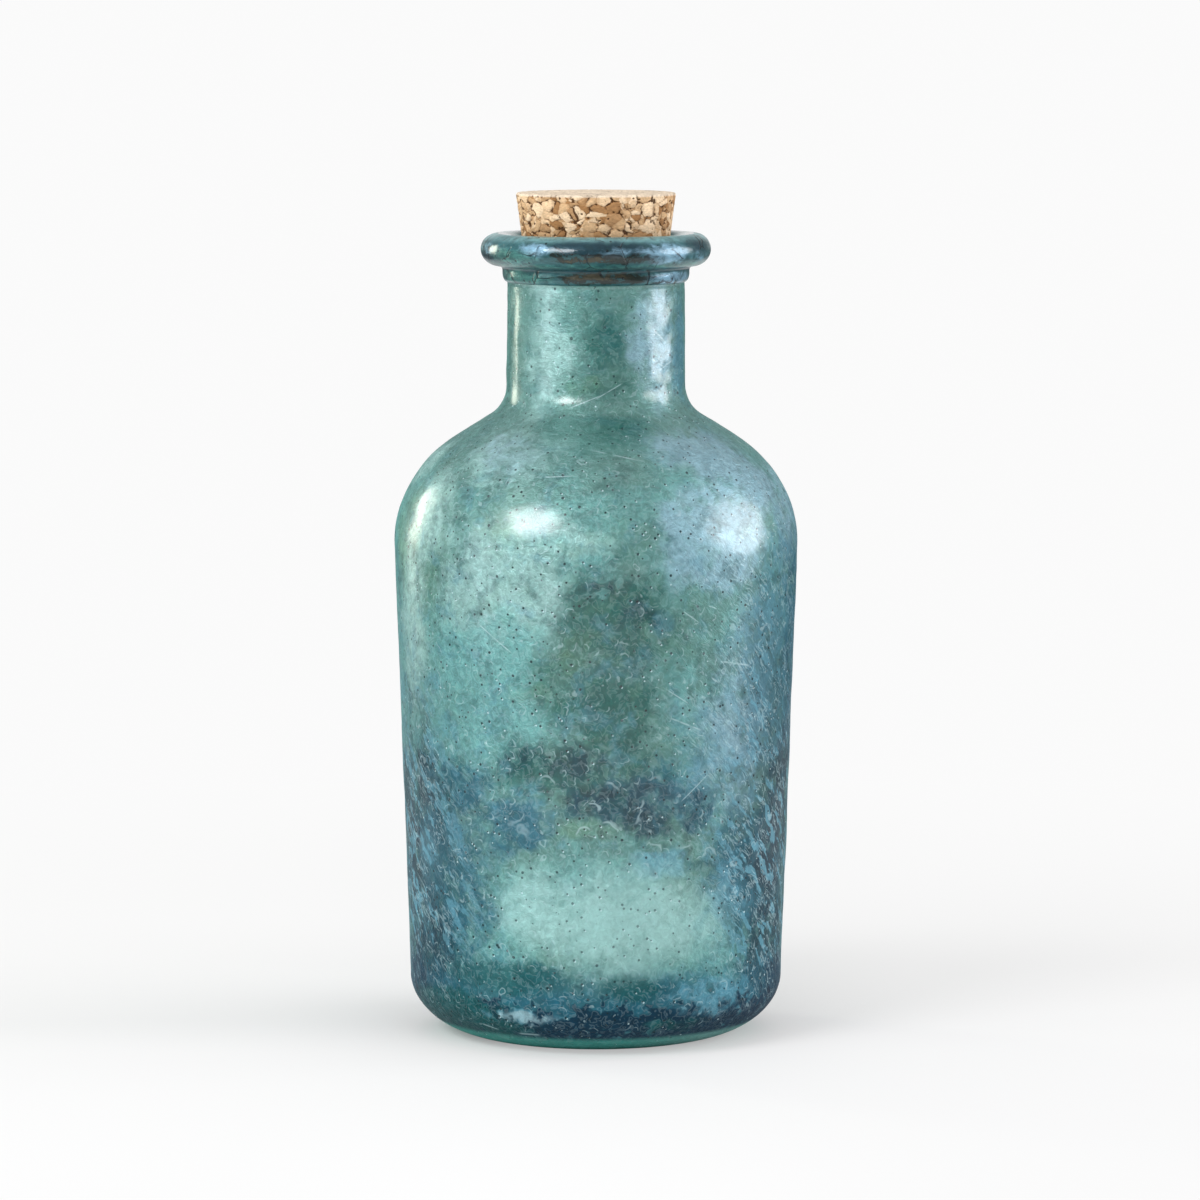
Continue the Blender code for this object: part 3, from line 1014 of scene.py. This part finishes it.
class Outline:
    """A turned piece's section, drawn in edit mode by pulling one vertex on from the last."""

    SAME = 0.01 * MM
    SEAM = 0.002 * MM

    def __init__(self, name: str, start: Point, longest: float) -> None:
        """Starts the outline.

        Args:
            name: the piece's name.
            start: the first point, as radius and height.
            longest: the longest stretch that is left in one piece.
        """
        bpy.ops.object.select_all(action="DESELECT")
        bpy.ops.mesh.primitive_plane_add(size=longest, location=(start[0], 0.0, start[1]))
        self.piece = bpy.context.active_object
        self.piece.name = name
        self.piece.data.name = name
        bpy.ops.object.transform_apply(location=True, rotation=True, scale=True)
        bpy.ops.object.mode_set(mode="EDIT")
        bpy.ops.mesh.merge(type="CENTER")
        self.last = start
        self.longest = longest

    def pull(self, point: Point) -> None:
        """Pulls the outline on to a point, in as many equal steps as its length asks for.

        Args:
            point: the point, as radius and height.
        """
        run = (point[0] - self.last[0], point[1] - self.last[1])
        steps = max(1, math.ceil(math.hypot(*run) / self.longest))
        for _ in range(steps):
            move = {"value": (run[0] / steps, 0.0, run[1] / steps)}
            bpy.ops.mesh.extrude_vertices_move(TRANSFORM_OT_translate=move)
        self.last = point

    def draw(self, points: Sequence[Point]) -> None:
        """Pulls the outline through several points, leaving out those where it already is.

        Args:
            points: the points, as radius and height.
        """
        for point in points:
            if math.dist(point, self.last) > self.SAME:
                self.pull(point)

    def turn(self, steps: int) -> bpy.types.Object:
        """Turns the outline about the bottle's axis and closes its seam and poles.

        Args:
            steps: how many sides the turned piece has.

        Returns:
            The piece.
        """
        bpy.ops.object.mode_set(mode="OBJECT")
        bpy.ops.object.modifier_add(type="SCREW")
        screw = self.piece.modifiers[-1]
        screw.steps = steps
        screw.render_steps = steps
        bpy.ops.object.modifier_apply(modifier=screw.name)
        bpy.ops.object.mode_set(mode="EDIT")
        bpy.ops.mesh.select_all(action="SELECT")
        bpy.ops.mesh.remove_doubles(threshold=self.SEAM)
        bpy.ops.mesh.normals_make_consistent(inside=False)
        bpy.ops.object.mode_set(mode="OBJECT")
        bpy.ops.object.shade_smooth()
        return self.piece


def ellipse_arc(centre: Point, half_width: float, half_height: float, start: float, end: float,
                spacing: float) -> list[Point]:
    """Points along part of an ellipse.

    Args:
        centre: its centre.
        half_width: half its width.
        half_height: half its height.
        start: the first angle in degrees, from +radius towards +height.
        end: the last angle.
        spacing: about how far apart the points are.

    Returns:
        The points, with both ends.
    """
    length = math.radians(abs(end - start)) * max(half_width, half_height)
    steps = max(3, math.ceil(length / spacing))
    points = []
    for i in range(steps + 1):
        angle = math.radians(start + (end - start) * i / steps)
        points.append((centre[0] + half_width * math.cos(angle), centre[1] + half_height * math.sin(angle)))
    return points


Relief = Callable[[NodeSheet, Wire], Wire]


def raise_surface(piece: bpy.types.Object, relief: Relief) -> None:
    """Moves a piece's surface along its normals by a pattern, as real shape.

    Args:
        piece: the piece.
        relief: gives the height at a point, in metres, as a wire.
    """
    tree = bpy.data.node_groups.new(f"{piece.name}_relief", "GeometryNodeTree")
    tree.interface.new_socket("Geometry", in_out="INPUT", socket_type="NodeSocketGeometry")
    tree.interface.new_socket("Geometry", in_out="OUTPUT", socket_type="NodeSocketGeometry")
    sheet = NodeSheet(tree)
    sheet = NodeSheet(tree, sheet.add("GeometryNodeInputPosition", {}, {}))
    source = sheet.add("NodeGroupInput", {}, {})
    normal = sheet.add("GeometryNodeInputNormal", {}, {})
    offset = sheet.vector("SCALE", normal, relief(sheet, sheet.place()))
    moved = sheet.add("GeometryNodeSetPosition", {}, {"Geometry": source, "Offset": offset})
    sheet.node("NodeGroupOutput", {}, {0: moved})
    bpy.ops.object.select_all(action="DESELECT")
    bpy.context.view_layer.objects.active = piece
    piece.select_set(True)
    modifier = piece.modifiers.new("relief", "NODES")
    modifier.node_group = tree
    bpy.ops.object.modifier_apply(modifier=modifier.name)


@dataclass
class CorkStopper:
    """The tapered cork."""

    base: float
    top: float
    top_radius: float
    bottom_radius: float = 15.2 * MM
    edge: float = 0.5 * MM
    grain: float = 0.32 * MM
    pit_depth: float = 0.28 * MM
    sides: int = 340

    def radius(self, height: float) -> float:
        """The cork's radius at a height."""
        share = (height - self.base) / (self.top - self.base)
        return self.bottom_radius + (self.top_radius - self.bottom_radius) * share

    def pressed(self, sheet: NodeSheet, place: Wire) -> Wire:
        """The pits between the granules, and the granules' own slight rounding, as real shape.

        Args:
            sheet: the modifier's node sheet.
            place: the point.

        Returns:
            How far the surface stands out, in metres: never above 0.
        """
        _, edge, dark = Granules().read(sheet, place)
        on_side = sheet.parts(place)[2].step(self.top - 0.1 * MM, self.top - 0.7 * MM)
        return (dark + edge.step(0.14, 0.0) * 0.3) * (on_side * 0.8 + 0.2) * -self.pit_depth

    def build(self) -> bpy.types.Object:
        """Models and dresses the cork.

        Returns:
            The piece.
        """
        foot = (self.bottom_radius - self.edge, self.base + self.edge)
        head = (self.top_radius - self.edge, self.top - self.edge)
        outline = Outline("cork_granules", (0.0, self.base), self.grain)
        outline.draw(ellipse_arc(foot, self.edge, self.edge, -90, 0, self.grain))
        outline.draw(ellipse_arc(head, self.edge, self.edge, 0, 90, self.grain))
        outline.draw([(0.0, self.top)])
        piece = outline.turn(self.sides)
        raise_surface(piece, self.pressed)
        piece.data.materials.append(GranularCork("granular_cork", top=self.top).build())
        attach(piece, Body.STOPPER.value)
        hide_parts("cork_stopper")
        return piece


@dataclass
class GlassBottle:
    """The turned glass, as one closed wall with an outside, a mouth and an inside."""

    body_radius: float
    lip_top: float
    cork: CorkStopper
    cork_gap: float = 0.3 * MM
    mouth_depth: float = 4.0 * MM
    neck_top_radius: float = 19.7 * MM
    neck_foot_radius: float = 19.95 * MM
    bore_radius: float = 15.5 * MM
    collar_step: float = 1.1 * MM
    collar_round: float = 2.1 * MM
    collar_band: float = 0.5 * MM
    lip_tuck: float = 1.0 * MM
    lip_half_width: float = 3.8 * MM
    lip_half_height: float = 3.6 * MM
    shoulder_height: float = 110.0 * MM
    shoulder_round: float = 27.8 * MM
    shoulder_slope: float = 32.8
    shoulder_fillet: float = 7.6 * MM
    foot_radius: float = 41.6 * MM
    heel_width: float = 18.0 * MM
    heel_height: float = 13.5 * MM
    rest_width: float = 3.2 * MM
    push_up: float = 2.5 * MM
    wall: float = 3.5 * MM
    floor: float = 7.0 * MM
    floor_crown: float = 1.5 * MM
    inner_heel: float = 11.0 * MM
    swell: float = 0.5 * MM
    lip_wobble: float = 0.45 * MM
    outer_spacing: float = 1.0 * MM
    inner_spacing: float = 2.6 * MM
    sides: int = 260

    @property
    def lip_base(self) -> float:
        """Height of the lip's underside."""
        return self.lip_top - 2 * self.lip_half_height

    @property
    def collar_base(self) -> float:
        """Height of the collar's lower edge."""
        return self.lip_base - self.lip_tuck - self.collar_band - self.collar_round

    @property
    def crest_radius(self) -> float:
        """Radius of the lip's highest line."""
        return self.neck_top_radius + self.collar_step + self.lip_tuck

    def shoulder(self, body: float, bend: float, neck: float, fillet: float, spacing: float) -> list[Point]:
        """The shoulder from the wall up to the neck.

        Args:
            body: the wall's radius.
            bend: radius of the convex arc.
            neck: the neck's radius.
            fillet: radius of the concave arc.
            spacing: about how far apart the points are.

        Returns:
            The points, upwards.
        """
        turn = 90 - self.shoulder_slope
        run = 1 - math.cos(math.radians(turn))
        flank = body - neck - (fillet + bend) * run
        arc = ellipse_arc((body - bend, self.shoulder_height), bend, bend, 0, turn, spacing)
        rise = arc[-1][1] + flank * math.tan(math.radians(self.shoulder_slope))
        centre = (neck + fillet, rise + fillet * math.sin(math.radians(turn)))
        return arc + ellipse_arc(centre, fillet, fillet, 180 + turn, 180, spacing)

    def outside(self) -> list[Point]:
        """The outline from the middle of the foot to the crest of the lip.

        Returns:
            The points.
        """
        gap = self.outer_spacing
        heel_start = self.foot_radius - self.heel_width
        hollow_edge = heel_start - self.rest_width
        hollow = ellipse_arc((0.0, 0.0), hollow_edge, self.push_up, 90, 0, self.inner_spacing)
        heel = ellipse_arc((heel_start, self.heel_height), self.heel_width, self.heel_height, -90, 0, gap)
        neck = self.neck_foot_radius
        shoulder = self.shoulder(self.body_radius, self.shoulder_round, neck, self.shoulder_fillet, gap)
        collar_centre = (self.neck_top_radius, self.collar_base + self.collar_round)
        collar = ellipse_arc(collar_centre, self.collar_step, self.collar_round, -90, 0, gap / 2)
        tuck_centre = (self.crest_radius, self.lip_base - self.lip_tuck)
        tuck = ellipse_arc(tuck_centre, self.lip_tuck, self.lip_tuck, 180, 90, gap / 2)
        bead_centre = (self.crest_radius, self.lip_top - self.lip_half_height)
        bead = ellipse_arc(bead_centre, self.lip_half_width, self.lip_half_height, -90, 90, gap / 2)
        return hollow + heel + shoulder + collar + tuck + bead

    def inside(self) -> list[Point]:
        """The outline from the crest of the lip down to the middle of the inner floor.

        Returns:
            The points.
        """
        gap = self.inner_spacing
        seat_top = self.lip_top - self.mouth_depth
        mouth_width = self.crest_radius - self.cork.radius(seat_top) - self.cork_gap
        mouth_centre = (self.crest_radius, seat_top)
        mouth = ellipse_arc(mouth_centre, mouth_width, self.mouth_depth, 90, 180, self.outer_spacing / 2)
        bend = self.shoulder_round - self.wall
        fillet = self.shoulder_fillet + self.neck_foot_radius - self.bore_radius
        shoulder = self.shoulder(self.body_radius - self.wall, bend, self.bore_radius, fillet, gap)
        heel_radius = self.foot_radius - self.heel_width
        heel_centre = (heel_radius, self.floor + self.inner_heel)
        heel = ellipse_arc(heel_centre, self.heel_width - self.wall, self.inner_heel, 0, -90, gap)
        crown = ellipse_arc((0.0, self.floor), heel_radius, self.floor_crown, 0, 90, gap)
        return mouth + [(self.bore_radius, self.cork.base)] + shoulder[::-1] + heel + crown

    def hand_worked(self, sheet: NodeSheet, place: Wire) -> Wire:
        """The small unevenness of hand-worked glass, as real shape.

        Args:
            sheet: the modifier's node sheet.
            place: the point.

        Returns:
            How far the surface stands out, in metres.
        """
        x, y, height = sheet.parts(place)
        radius = (x * x + y * y) ** 0.5
        broad = sheet.noise(place, 16 * MM, 1.0) - 0.5
        dimples = sheet.noise(place, 4.5 * MM, 1.0) - 0.5
        outside = (radius - self.body_radius + 6 * MM).step(0.0, 2 * MM)
        above_foot = height.step(2 * MM, 12 * MM)
        below_collar = height.step(self.collar_base, self.collar_base - 3 * MM)
        rippled = Patch(44, 153, 9, 14, 0.7, self.neck_top_radius / MM).mask(sheet, place)
        on_neck = height.step(136 * MM, 142 * MM)
        relief = broad * self.swell + dimples * (rippled + on_neck * 0.15 + 0.2) * MM
        relief = relief * above_foot * below_collar * outside.at_least(height.step(105 * MM, 118 * MM))
        wobble = sheet.noise(place, 7 * MM, 1.0) - 0.5
        above_base = height.step(self.lip_base, self.lip_base + MM)
        on_bead = (radius - self.crest_radius).step(0.0, 2 * MM) * above_base
        return relief + wobble * on_bead * self.lip_wobble

    def mark_faces(self, piece: bpy.types.Object) -> None:
        """Gives the inner wall its own finish, from the crest of the lip down, and the lip and collar theirs.

        Args:
            piece: the turned glass.
        """
        for face in piece.data.polygons:
            centre = face.center
            out = Vector((centre.x, centre.y, 0.0)).normalized()
            inward = face.normal.dot(out) < -0.02
            floor = face.normal.z > 0.7 and centre.z < self.floor + self.inner_heel
            if (inward or floor) and centre.z > self.push_up + 0.5 * MM:
                face.material_index = GlassFace.INSIDE.value
            elif centre.z > self.collar_base:
                face.material_index = GlassFace.LIP.value
            else:
                face.material_index = GlassFace.SKIN.value

    def build(self) -> bpy.types.Object:
        """Models and dresses the glass.

        Returns:
            The piece.
        """
        outline = Outline("bottle_glass", (0.0, self.push_up), self.outer_spacing)
        outline.draw(self.outside())
        outline.longest = self.inner_spacing
        outline.draw(self.inside())
        piece = outline.turn(self.sides)
        self.mark_faces(piece)
        raise_surface(piece, self.hand_worked)
        finishes = {
            GlassFace.SKIN: WeatheredGlass("weathered_glass"),
            GlassFace.INSIDE: InnerGlass("inner_glass"),
            GlassFace.LIP: LipGlass("lip_glass", top=self.lip_top),
        }
        for face in GlassFace:
            piece.data.materials.append(finishes[face].build())
        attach(piece, Body.BOTTLE.value)
        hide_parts("glass_bottle")
        return piece


@dataclass
class Studio:
    """The pale floor, the soft lamps and the camera."""

    camera_distance: float = 1337.2 * MM
    camera_pitch: float = 6.04
    camera_aim: float = 97.2 * MM
    camera_side: float = 0.9 * MM
    focal_pixels: float = 5977.9
    frame_pixels: int = 1200
    floor_radius: float = 6.0
    lamp_distance: float = 0.85
    white: float = 0.96
    paper: float = 0.74
    fill: float = 0.37
    ceiling_fill: float = 0.54
    room_light: float = 0.14
    ceiling_light: float = 0.3
    backdrop_edge: float = 0.9
    backdrop_full: float = 0.99
    sweep_width: float = 0.3
    shadow_inner: float = 0.12
    shadow_outer: float = 0.42
    near_glow: float = 0.7

    def camera(self) -> None:
        """Puts the camera where the photograph was taken from."""
        data = bpy.data.cameras.new("photo_camera")
        data.sensor_width = 36.0
        data.lens = self.focal_pixels / self.frame_pixels * data.sensor_width
        data.clip_end = 50.0
        camera = bpy.data.objects.new("photo_camera", data)
        bpy.context.scene.collection.objects.link(camera)
        pitch = math.radians(self.camera_pitch)
        camera.location = (
            self.camera_side,
            -self.camera_distance * math.cos(pitch),
            self.camera_aim + self.camera_distance * math.sin(pitch),
        )
        camera.rotation_euler = (math.pi / 2 - pitch, 0.0, 0.0)
        bpy.context.scene.camera = camera

    def floor(self) -> None:
        """The pale floor: white around the bottle, with its shadow and a painted shadow near it."""
        bpy.ops.object.select_all(action="DESELECT")
        bpy.ops.mesh.primitive_circle_add(vertices=96, radius=self.floor_radius, fill_type="TRIFAN")
        floor = bpy.context.active_object
        floor.name = "studio_floor"
        material = bpy.data.materials.new("studio_floor")
        material.use_nodes = True
        material.node_tree.nodes.clear()
        sheet = NodeSheet(material.node_tree)
        away = sheet.vector("LENGTH", sheet.place(), output="Value")
        aside, front, _ = sheet.parts(sheet.place())
        on_sweep = aside.size().step(self.sweep_width, 0.7 * self.sweep_width) * front.step(-1.0, -0.5)
        shown = on_sweep.at_least(sheet.ray("Camera")) * (1 - self.room_light)
        paper = sheet.add("ShaderNodeBsdfDiffuse", {}, {"Color": (self.paper,) * 3})
        glow = sheet.glow("ShaderNodeEmission", (shown + self.room_light) * self.white)
        far = away.step(self.shadow_inner, self.shadow_outer)
        # Painted shadow: the floor shows darker in a band behind and beside the bottle, more on its left, and a
        # little in a strip through its middle, over the real shadow.
        shaded = front.step(-35 * MM, 15 * MM) * front.step(160 * MM, 80 * MM)
        middle = aside.size().step(80 * MM, 20 * MM)
        leftward = aside.step(60 * MM, -60 * MM)
        dimmed = shaded * (leftward * 0.3 + 0.25) + middle * 0.2
        near = (1 - far) * sheet.ray("Camera") * (self.near_glow - dimmed)
        shown_floor = sheet.mixed(far + near, paper, glow)
        sheet.node("ShaderNodeOutputMaterial", {}, {0: sheet.mixed(self.seen(sheet), paper, shown_floor)})
        floor.data.materials.append(material)

    def seen(self, sheet: NodeSheet) -> Wire:
        """1 for what is seen straight, in gloss or through glass, and 0 for light on matte things."""
        return sheet.ray("Camera").at_least(sheet.ray("Glossy")).at_least(sheet.ray("Transmission"))

    def world(self) -> None:
        """The white backdrop behind the bottle, and a soft grey room all round it.

        The camera sees white everywhere. Gloss and glass see the backdrop as white and the room as grey, and
        matte surfaces get a soft fill that grows overhead.
        """
        world = bpy.data.worlds.new("studio")
        bpy.context.scene.world = world
        world.use_nodes = True
        world.node_tree.nodes.clear()
        sheet = NodeSheet(world.node_tree)
        direction = sheet.add("ShaderNodeTexCoord", {}, {}, "Generated")
        behind = sheet.parts(direction)[1].step(self.backdrop_edge, self.backdrop_full)
        overhead = sheet.parts(direction)[2].step(-0.1, 0.9)
        room = 1 - (1 - behind) * (1 - self.room_light - overhead * self.ceiling_light)
        fill = sheet.glow("ShaderNodeBackground", overhead * self.ceiling_fill + self.fill)
        shown = sheet.glow("ShaderNodeBackground", room.at_least(sheet.ray("Camera")) * self.white)
        sheet.node("ShaderNodeOutputWorld", {}, {0: sheet.mixed(self.seen(sheet), fill, shown)})

    def lamp(self, name: str, azimuth: float, elevation: float, width: float, tall: float, light: float,
             tint: Colour = (1.0, 1.0, 1.0)) -> None:
        """A soft box that faces the bottle.

        Args:
            name: its name.
            azimuth: degrees from the camera's side towards +X.
            elevation: degrees above level.
            width: its width.
            tall: its height.
            light: how brightly it lights a white card that faces it by the bottle, where 1 shows as white.
            tint: its colour.
        """
        data = bpy.data.lights.new(name, "AREA")
        data.shape = "ELLIPSE"
        data.size = width
        data.size_y = tall
        data.color = tint
        data.energy = light * math.pi * math.pi * self.lamp_distance ** 2
        lamp = bpy.data.objects.new(name, data)
        bpy.context.scene.collection.objects.link(lamp)
        lamp.visible_camera = False
        level = self.lamp_distance * math.cos(math.radians(elevation))
        rise = self.lamp_distance * math.sin(math.radians(elevation))
        lamp.location = on_wall(azimuth, level, self.camera_aim + rise)
        aim = Vector((0.0, 0.0, self.camera_aim)) - lamp.location
        lamp.rotation_euler = aim.to_track_quat("-Z", "Y").to_euler()

    def build(self) -> None:
        """Sets up the whole studio."""
        bpy.context.scene.view_settings.view_transform = "Standard"
        self.camera()
        self.floor()
        self.world()
        self.lamp("key_softbox", -39, 29, 0.43, 0.31, 0.60, (0.98, 0.98, 0.99))
        self.lamp("left_card", -66, 4, 0.30, 0.6, 0.14, (0.82, 0.94, 1.0))
        self.lamp("left_strip", -126, 12, 0.14, 0.36, 0.19, (1.0, 1.0, 0.84))
        self.lamp("left_strip_low", -126, -6, 0.10, 0.3, 0.04, (1.0, 1.0, 0.82))
        self.lamp("right_softbox", 90, 14, 0.66, 0.52, 0.57, (1.0, 0.97, 0.99))


def main() -> None:
    """Builds the studio and the bottle, and reports each piece."""
    logging.basicConfig(level=logging.INFO, format="%(name)s: %(message)s")
    Studio().build()
    cork_low, cork_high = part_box("cork_stopper")
    _, glass_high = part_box("glass_bottle")
    cork = CorkStopper(base=cork_low.z, top=cork_high.z, top_radius=cork_high.x)
    glass = GlassBottle(body_radius=glass_high.x, lip_top=glass_high.z, cork=cork)
    for piece in (glass.build(), cork.build()):
        LOG.info("%s: %d faces", piece.name, len(piece.data.polygons))


if __name__ == "__main__":
    main()
